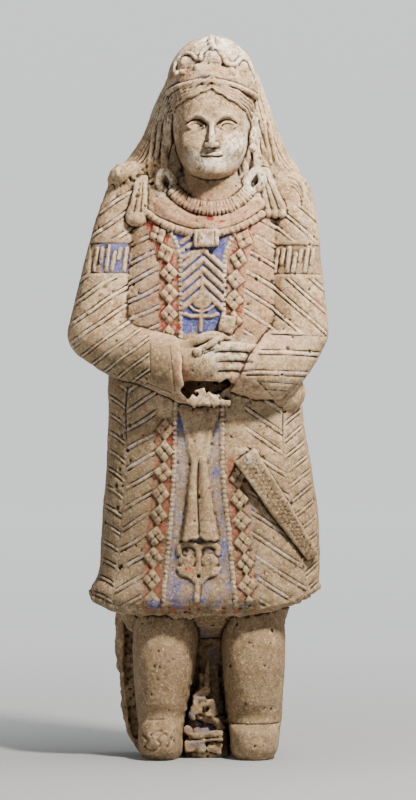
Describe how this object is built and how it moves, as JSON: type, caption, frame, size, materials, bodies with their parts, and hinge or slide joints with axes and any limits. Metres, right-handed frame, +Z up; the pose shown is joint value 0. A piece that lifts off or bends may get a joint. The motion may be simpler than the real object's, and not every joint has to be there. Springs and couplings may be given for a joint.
{
  "type": "standing figure sculpture",
  "caption": "Standing robed figure in painted stucco with cap, long hair and hands held at the waist, worn and chipped, on its own feet.",
  "frame": {"origin": "under the middle of the figure's box, on the plane that its soles stand on", "axes": "+Z up, the figure looks along -Y, +X to the viewer's right"},
  "size_m": [0.5158, 0.2582, 1.441],
  "materials": {
    "stucco": "matt beige stucco, dirt in the cuts, worn blue and red paint"
  },
  "bodies": {
    "root": {"standing_figure": "stucco"}
  },
  "joints": []
}
